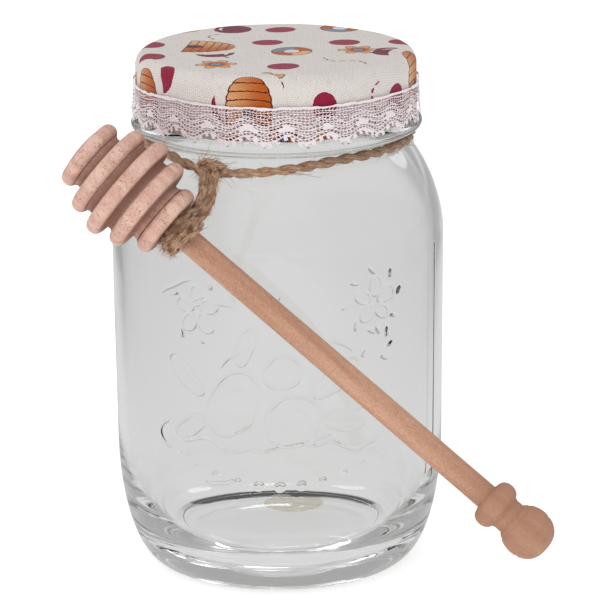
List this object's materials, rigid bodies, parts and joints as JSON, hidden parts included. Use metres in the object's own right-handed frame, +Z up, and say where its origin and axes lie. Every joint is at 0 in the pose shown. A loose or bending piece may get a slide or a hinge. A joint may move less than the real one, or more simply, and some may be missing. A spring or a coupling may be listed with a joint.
{
  "type": "glass honey jar",
  "caption": "Empty clear glass jar with a fabric-covered twist-off lid, lace trim and a turned wooden honey dipper tied to its neck with jute twine.",
  "frame": {"origin": "under the middle of the whole object's box, on the table; the jar's own axis stands at x -8.083 mm, y +17.710 mm", "axes": "+Z up along the jar's axis, -Y towards the raised front and the dipper, +X to the right of the front, where the dipper's knob is"},
  "size_m": [0.1412, 0.1364, 0.1591],
  "materials": {
    "glass": "clear, smooth, with raised fruit and leaves",
    "lid_metal": "gold lacquer, satin",
    "cover_fabric": "off-white plain weave with a printed pattern",
    "lace_thread": "pinkish white net lace",
    "jute": "twisted, hairy",
    "beech": "turned, sanded, unvarnished",
    "paper": "plain, matt"
  },
  "bodies": {
    "root": {"jar": "glass", "lid": "lid_metal", "cover": "cover_fabric", "lace": "lace_thread", "twine": "jute", "dipper": "beech", "sticker": "paper"}
  },
  "joints": []
}
